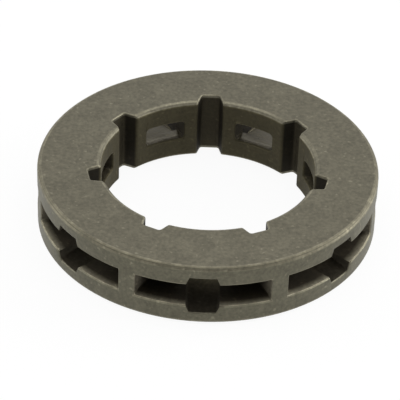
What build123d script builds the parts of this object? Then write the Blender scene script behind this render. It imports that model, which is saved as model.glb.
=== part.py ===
from build123d import *
from math import radians, tan
import os

# Rim sprocket of a chainsaw clutch drum: one cast steel ring, in millimetres.
# Two flanges carry the chain, tooth posts between them drive its links,
# and a splined bore rides on the hub of the drum.
# The ring lies on its lower face, its axis along +Z, with a tooth pocket facing -Y.

# Rim
outer_diameter = 35.5
flange_thickness = 2.2
rim_chamfer = 0.3

# Splined bore
bore_diameter = 22.2
spline_depth = 1.45
spline_floor_width = 1.95
spline_flank_angle = 16.0
spline_mouth_radius = 0.3
spline_root_radius = 0.3
lead_in = 0.35

# Tooth posts and the pockets between them, which take the drive links of the chain
tooth_count = 7
tooth_width = 1.85
slot_height = 2.6
bore_wall = 2.1
tooth_root_radius = 1.4

# Window from each pocket through the wall into the bore
window_width = 4.5
window_height = 2.2
window_corner_radius = 0.45

# Chip relief: a passage through the middle of each pocket, taller than the slot at the rim,
# whose roof and floor slope to meet those of the window a short way from the bore
relief_width = 3.4
relief_depth = 0.85
relief_side_angle = 22.0
relief_land = 0.7

# How far a cutting shape reaches past the surface that it opens
overrun = 1.0

# Sizes that follow from those above
outer_radius = outer_diameter / 2
bore_radius = bore_diameter / 2
spline_radius = bore_radius + spline_depth
pocket_floor_radius = bore_radius + bore_wall
thickness = slot_height + 2 * flange_thickness
mid_height = thickness / 2
relief_height = slot_height + 2 * relief_depth
relief_inner_radius = bore_radius + relief_land
relief_slope = (relief_height - window_height) / 2 / (outer_radius - relief_inner_radius)

# Planes whose X axis runs out through a tooth, at the lower face and at mid height
lower_plane = Plane(origin=(0, 0, 0), x_dir=(0, 1, 0), z_dir=(0, 0, 1))
middle_plane = lower_plane.offset(mid_height)

# Upright planes facing in along the axis of the pocket at -Y, outside the rim and in the pocket
relief_plane = Plane(
    origin=(0, -outer_radius - overrun, mid_height),
    x_dir=(1, 0, 0),
    z_dir=(0, 1, 0),
)
window_plane = relief_plane.offset(outer_radius - pocket_floor_radius)

# Upright plane through the axis of that pocket, its X axis running in towards the bore
side_plane = Plane(origin=(0, 0, mid_height), x_dir=(0, 1, 0), z_dir=(1, 0, 0))

# Core of one chip relief
with BuildPart() as relief_core:
    # Section across the passage: as wide as the window between the slot's roof and floor,
    # and narrower beyond them, where its leaning sides are drawn past its own roof and floor
    with BuildSketch(relief_plane):
        section_half_height = relief_height / 2 + overrun
        side_lean = (relief_depth + overrun) * tan(radians(relief_side_angle))
        Polygon(
            (window_width / 2, slot_height / 2),
            (relief_width / 2, slot_height / 2),
            (relief_width / 2 - side_lean, section_half_height),
            (side_lean - relief_width / 2, section_half_height),
            (-relief_width / 2, slot_height / 2),
            (-window_width / 2, slot_height / 2),
            (-window_width / 2, -slot_height / 2),
            (-relief_width / 2, -slot_height / 2),
            (side_lean - relief_width / 2, -section_half_height),
            (relief_width / 2 - side_lean, -section_half_height),
            (relief_width / 2, -slot_height / 2),
            (window_width / 2, -slot_height / 2),
            align=None,
        )
    extrude(amount=overrun + outer_radius - relief_inner_radius)

    # Roof and floor, seen from the side
    with BuildSketch(side_plane):
        outer_half_height = relief_height / 2 + overrun * relief_slope
        Polygon(
            (-outer_radius - overrun, outer_half_height),
            (-outer_radius - overrun, -outer_half_height),
            (-relief_inner_radius, -window_height / 2),
            (-relief_inner_radius, window_height / 2),
            align=None,
        )
    extrude(amount=window_width, both=True, mode=Mode.INTERSECT)

# Core of one window
with BuildPart() as window_core:
    with BuildSketch(window_plane):
        RectangleRounded(window_width, window_height, window_corner_radius)
    extrude(amount=overrun + bore_wall + overrun)

with BuildPart() as rim_sprocket:
    # Ring blank, its edges broken
    with BuildSketch(lower_plane):
        Circle(outer_radius)
    extrude(amount=thickness)
    chamfer(rim_sprocket.edges().filter_by(GeomType.CIRCLE), length=rim_chamfer)

    # Splined bore, with one spline under each tooth
    with BuildSketch(lower_plane) as bore_profile:
        Circle(bore_radius)
        spline_inner = spline_depth + overrun
        spline_inner_width = spline_floor_width + 2 * spline_inner * tan(radians(spline_flank_angle))
        with PolarLocations(spline_radius, tooth_count):
            Polygon(
                (0, spline_floor_width / 2),
                (-spline_inner, spline_inner_width / 2),
                (-spline_inner, -spline_inner_width / 2),
                (0, -spline_floor_width / 2),
                align=None,
            )
        mouth_corners = bore_profile.vertices().group_by(SortBy.DISTANCE)[0]
        fillet(mouth_corners, radius=spline_mouth_radius)
        root_corners = bore_profile.vertices().group_by(SortBy.DISTANCE)[-1]
        fillet(root_corners, radius=spline_root_radius)
    extrude(amount=thickness, mode=Mode.SUBTRACT)

    # Conical lead-in at both ends of the bore, across the lands
    with Locations(Location((0, 0, 0), (0, 0, 90)), Location((0, 0, thickness), (180, 0, 90))):
        Cone(
            bottom_radius=bore_radius + lead_in,
            top_radius=bore_radius,
            height=lead_in,
            align=(Align.CENTER, Align.CENTER, Align.MIN),
            mode=Mode.SUBTRACT,
        )

    # Pockets: the groove between the flanges, less the tooth posts
    with BuildSketch(middle_plane) as pocket_profile:
        Circle(outer_radius + overrun)
        Circle(pocket_floor_radius, mode=Mode.SUBTRACT)
        with PolarLocations(outer_radius, tooth_count):
            Rectangle(outer_diameter, tooth_width, mode=Mode.SUBTRACT)
        root_corners = pocket_profile.vertices().group_by(SortBy.DISTANCE)[0]
        fillet(root_corners, radius=tooth_root_radius)
    extrude(amount=slot_height / 2, both=True, mode=Mode.SUBTRACT)

    # Windows and chip reliefs, one of each in every pocket
    with PolarLocations(0, tooth_count):
        add(window_core.part, mode=Mode.SUBTRACT)
        add(relief_core.part, mode=Mode.SUBTRACT)

rim_sprocket.part.label = "rim_sprocket"

os.makedirs("parts", exist_ok=True)
export_step(rim_sprocket.part, "parts/rim_sprocket.step")
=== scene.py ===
"""Looks of the rim sprocket: a cast steel ring on a white studio sweep."""
import bpy
import bmesh
import numpy as np
from math import cos, pi, radians, sin
from mathutils import Matrix, Vector


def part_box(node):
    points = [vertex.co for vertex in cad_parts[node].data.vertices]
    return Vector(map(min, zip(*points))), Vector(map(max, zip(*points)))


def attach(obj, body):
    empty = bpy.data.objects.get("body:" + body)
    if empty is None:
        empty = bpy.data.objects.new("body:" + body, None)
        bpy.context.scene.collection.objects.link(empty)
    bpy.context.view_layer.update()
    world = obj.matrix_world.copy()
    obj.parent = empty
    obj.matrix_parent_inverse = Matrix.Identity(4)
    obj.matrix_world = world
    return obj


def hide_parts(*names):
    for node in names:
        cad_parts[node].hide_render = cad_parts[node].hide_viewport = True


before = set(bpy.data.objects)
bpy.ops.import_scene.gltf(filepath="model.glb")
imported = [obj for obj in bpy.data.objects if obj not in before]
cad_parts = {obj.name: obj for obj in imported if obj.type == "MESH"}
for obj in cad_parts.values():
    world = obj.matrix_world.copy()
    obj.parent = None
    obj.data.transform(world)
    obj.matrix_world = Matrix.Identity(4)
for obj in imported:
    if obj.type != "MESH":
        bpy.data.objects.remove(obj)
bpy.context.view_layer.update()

MM = 0.001

# Ring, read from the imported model
ring_low, ring_high = (Vector(corner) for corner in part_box("rim_sprocket"))
ring_centre = (ring_low + ring_high) / 2
half_height = ring_high.z - ring_centre.z
TOOTH_COUNT = 7

# Camera that took the photograph: its square frame, its place round the ring in degrees, and its aim
FRAME_PX = 400
SENSOR_MM = 36.0
FOCAL_PX = 2330.6
CAMERA_DISTANCE = 244.4 * MM
CAMERA_ELEVATION = 36.65
CAMERA_AZIMUTH = 0.33
CAMERA_ROLL = 2.05
AIM_LEFT = 0.750 * MM
AIM_DOWN = 1.051 * MM
CLIP_START = 10.0 * MM

# Edges: those on the faces, the rim and the bore are rounded, as casting and tumbling leave them
MERGE_DISTANCE = 0.001 * MM
FLAT_ANGLE = 0.5
SHARP_EDGE_ANGLE = 30.0
EDGE_ROUND = 0.15 * MM
EDGE_STEPS = 3
FACE_ZONE = 3.1 * MM
RIM_ZONE = 17.3 * MM
BORE_ZONE = 11.3 * MM

# Colours of the steel; the chamfer, the bore and the splines, most of all on their flanks, are darker as painted
# shade
FACE_COLOUR = "#6b6758"
CHAMFER_SHADE_COLOUR = "#646051"
RIM_COLOUR = "#636051"
BORE_SHADE_COLOUR = "#4c4735"
SPLINE_SHADE_COLOUR = "#403b2d"
FLANK_SHADE_COLOUR = "#2a261c"

# Colours in the pockets: radius in mm and colour, from the window out to the rim. Walls and floors are painted
# dark as shade deep in, and painted light at the mouths and on the sills by the windows; reliefs are painted shade
RADIUS_SPAN = (10.0, 18.0)
WALL_LIGHT_AND_SHADE_STOPS = ((13.4, "#403b2f"), (15.4, "#484238"), (17.0, "#7d7768"))
FLOOR_LIGHT_AND_SHADE_STOPS = (
    (11.6, "#676150"),
    (12.2, "#524c37"),
    (13.0, "#4f4939"),
    (13.4, "#3b362b"),
    (16.8, "#443e32"),
    (17.25, "#7d7867"),
    (17.65, "#a6a08d"),
)
RELIEF_SHADE_STOPS = ((13.1, "#524c38"), (16.0, "#4a453a"))

# Roughness of the steel: on the outside, on the rim's chamfers, inside the ring, and where chips slide out
OUTER_ROUGHNESS = 0.42
CHAMFER_ROUGHNESS = 0.50
INNER_ROUGHNESS = 0.65
RELIEF_ROUGHNESS = 0.28
SILL_ROUGHNESS = 0.22

# Zones of the skin: where each one starts, and where it is full.
# Radii are from the axis, and heights from mid height, so that both halves of the ring are alike
FLOOR_HEIGHT = (1.00 * MM, 1.08 * MM)
RELIEF_HEIGHT = (1.31 * MM, 1.33 * MM)
FACE_HEIGHT = (3.10 * MM, 3.25 * MM)
SPLINE_RADIUS = (11.20 * MM, 11.00 * MM)
BORE_RADIUS = (11.45 * MM, 11.20 * MM)
RIM_RADIUS = (17.60 * MM, 17.70 * MM)
CHAMFER_REACH = (20.86 * MM, 20.93 * MM)

# Splines: how much further out the skin of the bore reaches there, and, as shares of the pitch from the
# middle of a tooth, where that reach starts and is full, and where a flank gives way to the floor
SPLINE_REACH = 1.60 * MM
SPLINE_TURN = (0.23, 0.17)
FLANK_TURN = (0.100, 0.078)

# Sills and reliefs: radius where a window's sill ends, and for a relief's floor its two radii and the
# heights there, and how far from that floor its sides start
SILL_END = (13.0 * MM, 13.3 * MM)
RELIEF_SLOPE = (11.80 * MM, 17.75 * MM, 1.10 * MM, 2.15 * MM)
RELIEF_SIDE = (0.03 * MM, 0.12 * MM)

# Patterns in the steel: size, detail, the span of noise that is used, and the tones that it gives.
# The grain left by casting and shot is nearer 0.1 mm, too fine for the frame, so it is drawn coarser
GRAIN = (0.34 * MM, 3.0, 0.25, 0.75, 0.74, 1.26)
MOTTLE = (2.2 * MM, 2.0, 0.30, 0.70, 0.92, 1.08)
SPECKS = (0.5 * MM, 0.0, 0.72, 0.82, 1.00, 1.50)
GRAIN_ROUGHNESS = 0.18
GRAIN_HEIGHT = 0.02 * MM
GRAIN_STRENGTH = 0.9

# Wear and painted highlight on the rounded edges: size, detail and span of its patches, how much of it is left
# between them, and where it is strongest: height in mm and share, at the lips of the slots and at the faces
WEAR_AND_GLINT_PATCHES = (1.6 * MM, 2.0, 0.40, 0.65)
WEAR_AND_GLINT_BETWEEN = 1 / 3
HEIGHT_SPAN = (0.0, half_height / MM)
WEAR_AND_GLINT_STOPS = (
    (1.15, 0.12),
    (1.24, 1.0),
    (1.42, 1.0),
    (1.52, 0.15),
    (3.00, 0.15),
    (3.12, 0.6),
    (3.40, 0.7),
)

# Oil and scale cover part of the metal
METALLIC = 0.75

# Studio: the paper, how bright the room is at its front and back, and the lamps: name, place from the
# ring's centre and width, both in metres, and radiance
WHITE = "#ffffff"
PAPER_COLOUR = "#f4f4f4"
PAPER_SIZE = 1.5
PAPER_DROP = 0.02 * MM
WHITE_SHARE = 0.92
ROOM_FRONT = 0.08
ROOM_BACK = 0.95
LOW_WALL = (0.10, 0.16)
SOFT_BOXES = (
    ("soft_box_above", (0, -0.06, 0.34), 0.32, 1.8),
    ("soft_box_left", (-0.30, 0.06, 0.10), 0.20, 2.9),
    ("soft_box_right", (0.30, 0.06, 0.10), 0.20, 6.0),
)


def linear(hex_colour):
    """sRGB hex to the linear RGBA that shader sockets take."""
    srgb = np.array([int(hex_colour[i:i + 2], 16) for i in (1, 3, 5)]) / 255
    rgb = np.where(srgb <= 0.04045, srgb / 12.92, ((srgb + 0.055) / 1.055) ** 2.4)
    return (*rgb.tolist(), 1.0)


def node(tree, kind, inputs=(), **settings):
    """Adds a node with its settings, sets or links its inputs, in order or by key, and gives its outputs."""
    new = tree.nodes.new(kind)
    for name, value in settings.items():
        setattr(new, name, value)
    keyed = inputs if isinstance(inputs, dict) else dict(enumerate(inputs))
    for key, value in keyed.items():
        if isinstance(value, bpy.types.NodeSocket):
            tree.links.new(value, new.inputs[key])
        else:
            new.inputs[key].default_value = value
    return new.outputs


def new_material(name):
    material = bpy.data.materials.new(name)
    material.use_nodes = True
    material.node_tree.nodes.clear()
    return material, material.node_tree


def ring_measures(tree, place):
    """Where a point lies on the ring: its radius from the axis, its height from mid height, and its turn.

    The turn is a share of the pitch, from 0 in the middle of a tooth to 0.5 in the middle of a pocket.
    """
    x, y, z = node(tree, "ShaderNodeSeparateXYZ", (place,))
    flat = node(tree, "ShaderNodeVectorMath", (place, (1, 1, 0)), operation="MULTIPLY")["Vector"]
    radius = node(tree, "ShaderNodeVectorMath", (flat,), operation="LENGTH")["Value"]
    rise = node(tree, "ShaderNodeMath", (z, ring_centre.z), operation="SUBTRACT")["Value"]
    height = node(tree, "ShaderNodeMath", (rise,), operation="ABSOLUTE")["Value"]
    angle = node(tree, "ShaderNodeMath", (x, y), operation="ARCTAN2")["Value"]
    pitches = node(tree, "ShaderNodeMath", (angle, TOOTH_COUNT / (2 * pi)), operation="MULTIPLY")["Value"]
    turn = node(tree, "ShaderNodeMath", (pitches, 0.5), operation="PINGPONG")["Value"]
    return radius, height, turn


def cast_steel(name, wear_and_glint):
    """Alloy steel, investment cast, shot-blasted and oiled; the second argument is how much its edges are
    brightened, partly as wear from handling and partly as painted highlight.

    To the eye it is a dark olive grey satin with a fine even grain and a few pale specks. The faces and
    the rim are lightest, and the chamfer is a little darker as painted shade. The bore is painted darker
    as shade, and the splines darker still, most of all on their flanks. The pockets and their reliefs are
    painted dark as shade, with painted light at the lips of the slots, at the mouths of their walls and
    on the sills by the windows. The chips have smoothed the sills and reliefs, which mirror the light
    that comes in behind them.
    """
    material, tree = new_material(name)
    place = node(tree, "ShaderNodeTexCoord")["Object"]
    radius, height, turn = ring_measures(tree, place)

    # Painted light and shade of the pockets along the radius, and shares of edge wear and painted highlight along
    # the height
    gradients = []
    for measure, (low, high), stops in (
        (radius, RADIUS_SPAN, WALL_LIGHT_AND_SHADE_STOPS),
        (radius, RADIUS_SPAN, FLOOR_LIGHT_AND_SHADE_STOPS),
        (radius, RADIUS_SPAN, RELIEF_SHADE_STOPS),
        (height, HEIGHT_SPAN, WEAR_AND_GLINT_STOPS),
    ):
        along = node(tree, "ShaderNodeMapRange", (measure, low * MM, high * MM))["Result"]
        gradient = node(tree, "ShaderNodeValToRGB", (along,))["Color"]
        elements = gradient.node.color_ramp.elements
        while len(elements) < len(stops):
            elements.new(1.0)
        for element, (stop, value) in zip(elements, stops):
            element.position = (stop - low) / (high - low)
            element.color = linear(value) if isinstance(value, str) else (value, value, value, 1.0)
        gradients.append(gradient)
    wall, floor, relief, wear_and_glint_share = gradients

    # Floors are smooth on the sills and rough beyond them; a relief is smooth on its floor and rough
    # on its sides, which lie nearer mid height
    floor_roughness = node(
        tree, "ShaderNodeMapRange", (radius, *SILL_END, SILL_ROUGHNESS, INNER_ROUGHNESS)
    )["Result"]
    relief_floor = node(tree, "ShaderNodeMapRange", (radius, *RELIEF_SLOPE))["Result"]
    off_floor = node(tree, "ShaderNodeMath", (relief_floor, height), operation="SUBTRACT")["Value"]
    relief_roughness = node(
        tree, "ShaderNodeMapRange", (off_floor, *RELIEF_SIDE, RELIEF_ROUGHNESS, INNER_ROUGHNESS)
    )["Result"]

    # The bore reaches further out at the splines, whose painted shade is darker on their flanks than on their
    # floors.
    # A Mix node's sockets share names, so they go by number: 0 factor, 2 and 3 values, 6 and 7 colours
    deeper = node(tree, "ShaderNodeMapRange", (turn, *SPLINE_TURN, 0.0, -SPLINE_REACH))["Result"]
    bore_radius = node(tree, "ShaderNodeMath", (radius, deeper), operation="ADD")["Value"]
    on_floor = node(tree, "ShaderNodeMapRange", (turn, *FLANK_TURN))["Result"]
    spline_shade = node(
        tree,
        "ShaderNodeMix",
        {0: on_floor, 6: linear(FLANK_SHADE_COLOUR), 7: linear(SPLINE_SHADE_COLOUR)},
        data_type="RGBA",
    )[2]

    # The chamfer round the rim, painted a little darker as shade, is where radius and height together reach
    # furthest
    reach = node(tree, "ShaderNodeMath", (radius, height), operation="ADD")["Value"]

    # Each zone of the skin goes over the one before; the pockets, reliefs, bore, splines and chamfer carry painted
    # light and shade
    zones = (
        (height, FLOOR_HEIGHT, floor, floor_roughness),
        (height, RELIEF_HEIGHT, relief, relief_roughness),
        (bore_radius, SPLINE_RADIUS, spline_shade, INNER_ROUGHNESS),
        (radius, RIM_RADIUS, linear(RIM_COLOUR), OUTER_ROUGHNESS),
        (radius, BORE_RADIUS, linear(BORE_SHADE_COLOUR), INNER_ROUGHNESS),
        (height, FACE_HEIGHT, linear(FACE_COLOUR), OUTER_ROUGHNESS),
        (reach, CHAMFER_REACH, linear(CHAMFER_SHADE_COLOUR), CHAMFER_ROUGHNESS),
    )
    skin, roughness = wall, INNER_ROUGHNESS
    for measure, bounds, zone_colour, zone_roughness in zones:
        share = node(
            tree, "ShaderNodeMapRange", (measure, *bounds), interpolation_type="SMOOTHSTEP"
        )["Result"]
        skin = node(tree, "ShaderNodeMix", {0: share, 6: skin, 7: zone_colour}, data_type="RGBA")[2]
        roughness = node(tree, "ShaderNodeMix", {0: share, 2: roughness, 3: zone_roughness})[0]

    # Grain of the cast skin, slow mottling from the blast, sparse pale specks and patches of edge wear and painted
    # highlight
    noises, tones = [], []
    for size, detail, *span in (GRAIN, MOTTLE, SPECKS, (*WEAR_AND_GLINT_PATCHES, WEAR_AND_GLINT_BETWEEN * wear_and_glint, wear_and_glint)):
        noise = node(tree, "ShaderNodeTexNoise", {"Vector": place, "Scale": 1 / size, "Detail": detail})["Fac"]
        noises.append(noise)
        tones.append(node(tree, "ShaderNodeMapRange", (noise, *span))["Result"])
    *steel_tones, worn_and_glinting = tones
    tone = node(tree, "ShaderNodeMath", (worn_and_glinting, wear_and_glint_share, 1.0), operation="MULTIPLY_ADD")["Value"]
    for steel_tone in steel_tones:
        tone = node(tree, "ShaderNodeMath", (tone, steel_tone), operation="MULTIPLY")["Value"]
    colour = node(tree, "ShaderNodeVectorMath", {0: skin, "Scale": tone}, operation="SCALE")["Vector"]

    # The grain also roughens the skin and stands out from it
    grain = noises[0]
    roughness = node(
        tree, "ShaderNodeMath", (grain, GRAIN_ROUGHNESS, roughness), operation="MULTIPLY_ADD"
    )["Value"]
    bump = node(
        tree, "ShaderNodeBump", {"Height": grain, "Strength": GRAIN_STRENGTH, "Distance": GRAIN_HEIGHT}
    )["Normal"]
    shader = node(
        tree,
        "ShaderNodeBsdfPrincipled",
        {"Base Color": colour, "Metallic": METALLIC, "Roughness": roughness, "Normal": bump},
    )["BSDF"]
    node(tree, "ShaderNodeOutputMaterial", {"Surface": shader})
    return material


def cast_ring():
    """The ring as cast: the CAD surface, merged, with the edges that can be touched rounded.

    An edge is sharp where its faces meet at more than SHARP_EDGE_ANGLE. Those on the faces, the rim
    and the bore take the rounding as a bevel weight; those inside the pockets stay sharp.
    """
    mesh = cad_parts["rim_sprocket"].data.copy()
    mesh.name = "cast_ring"
    work = bmesh.new()
    work.from_mesh(mesh)
    bmesh.ops.remove_doubles(work, verts=work.verts, dist=MERGE_DISTANCE)
    bmesh.ops.dissolve_limit(work, angle_limit=radians(FLAT_ANGLE), verts=work.verts, edges=work.edges)
    weight = work.edges.layers.float.new("bevel_weight_edge")
    for edge in work.edges:
        if edge.calc_face_angle(0) > radians(SHARP_EDGE_ANGLE):
            middle = (edge.verts[0].co + edge.verts[1].co) / 2
            radius = middle.xy.length
            on_face = abs(middle.z - ring_centre.z) > FACE_ZONE
            touched = on_face or radius > RIM_ZONE or radius < BORE_ZONE
            edge[weight] = float(touched)
            edge.smooth = touched
    for face in work.faces:
        face.smooth = True
    work.to_mesh(mesh)
    work.free()
    ring = bpy.data.objects.new("cast_ring", mesh)
    bpy.context.scene.collection.objects.link(ring)

    # The rounding takes the second material, whose edges are brightened by wear and by painted highlight
    rounding = ring.modifiers.new("edge_rounding", "BEVEL")
    rounding.width = EDGE_ROUND
    rounding.segments = EDGE_STEPS
    rounding.limit_method = "WEIGHT"
    rounding.use_clamp_overlap = False
    rounding.material = 1
    flats = ring.modifiers.new("flat_faces", "WEIGHTED_NORMAL")
    flats.keep_sharp = True
    mesh.materials.clear()
    mesh.materials.append(cast_steel("alloy_steel_cast_shot_blasted", wear_and_glint=0.0))
    mesh.materials.append(cast_steel("alloy_steel_cast_edges_worn_and_glinting", wear_and_glint=1.0))
    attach(ring, "root")
    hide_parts("rim_sprocket")


def photograph_camera():
    """The camera of the photograph, placed by its elevation, azimuth, roll and distance from the ring."""
    elevation, azimuth, roll = (radians(a) for a in (CAMERA_ELEVATION, CAMERA_AZIMUTH, CAMERA_ROLL))
    back = Vector((sin(azimuth) * cos(elevation), -cos(azimuth) * cos(elevation), sin(elevation)))
    level = Vector((cos(azimuth), sin(azimuth), 0))
    upright = back.cross(level)
    right = cos(roll) * level + sin(roll) * upright
    up = back.cross(right)
    place = ring_centre + back * CAMERA_DISTANCE - right * AIM_LEFT - up * AIM_DOWN
    lens = bpy.data.cameras.new("photograph")
    lens.sensor_width = SENSOR_MM
    lens.lens = FOCAL_PX / FRAME_PX * SENSOR_MM
    lens.clip_start = CLIP_START
    camera = bpy.data.objects.new("photograph", lens)
    camera.matrix_world = Matrix.Translation(place) @ Matrix((right, up, back)).transposed().to_4x4()
    bpy.context.scene.collection.objects.link(camera)
    bpy.context.scene.camera = camera


def soft_box(name, place, size, strength):
    """A square studio lamp that faces the ring; strength is its radiance."""
    lamp = bpy.data.lights.new(name, "AREA")
    lamp.size = size
    lamp.energy = strength * size ** 2 * pi
    lamp_object = bpy.data.objects.new(name, lamp)
    offset = Vector(place)
    lamp_object.location = ring_centre + offset
    lamp_object.rotation_euler = offset.to_track_quat("Z", "Y").to_euler()
    bpy.context.scene.collection.objects.link(lamp_object)


def white_floor():
    """White paper sweep, matt and even: WHITE_SHARE of it is plain white to the eye, and the rest takes shadow."""
    half = PAPER_SIZE / 2
    level = ring_low.z - PAPER_DROP
    corners = [(x, y, level) for x, y in ((-half, -half), (half, -half), (half, half), (-half, half))]
    mesh = bpy.data.meshes.new("floor")
    mesh.from_pydata(corners, [], [(0, 1, 2, 3)])
    floor = bpy.data.objects.new("floor", mesh)
    bpy.context.scene.collection.objects.link(floor)
    material, tree = new_material("white_paper_sweep")
    path = node(tree, "ShaderNodeLightPath")
    seen = path["Is Camera Ray"]
    for ray in ("Is Glossy Ray", "Is Transmission Ray"):
        seen = node(tree, "ShaderNodeMath", (seen, path[ray]), operation="MAXIMUM")["Value"]
    share = node(tree, "ShaderNodeMath", (seen, WHITE_SHARE), operation="MULTIPLY")["Value"]
    paper = node(tree, "ShaderNodeBsdfDiffuse", {"Color": linear(PAPER_COLOUR)})["BSDF"]
    white = node(tree, "ShaderNodeEmission", {"Color": linear(WHITE), "Strength": 1.0})["Emission"]
    sweep = node(tree, "ShaderNodeMixShader", (share, paper, white))["Shader"]
    node(tree, "ShaderNodeOutputMaterial", {"Surface": sweep})
    mesh.materials.append(material)


def studio_room():
    """Surroundings that brighten evenly from the dim side of the room, at -Y, to the white one at +Y.

    The sweep rises as a low white wall all round; LOW_WALL is where it fades out, as a sine of elevation.
    """
    world = bpy.data.worlds.new("studio_room")
    bpy.context.scene.world = world
    world.use_nodes = True
    tree = world.node_tree
    tree.nodes.clear()
    direction = node(tree, "ShaderNodeTexCoord")["Generated"]
    _, y, z = node(tree, "ShaderNodeSeparateXYZ", (direction,))
    room = node(tree, "ShaderNodeMapRange", (y, -1.0, 1.0, ROOM_FRONT, ROOM_BACK))["Result"]
    level = node(
        tree, "ShaderNodeMapRange", (z, *LOW_WALL, 1.0, room), interpolation_type="SMOOTHSTEP"
    )["Result"]
    light = node(tree, "ShaderNodeBackground", {"Color": linear(WHITE), "Strength": level})["Background"]
    node(tree, "ShaderNodeOutputWorld", {"Surface": light})


cast_ring()
photograph_camera()
white_floor()
studio_room()
for lamp_settings in SOFT_BOXES:
    soft_box(*lamp_settings)
bpy.context.scene.view_settings.view_transform = "Standard"
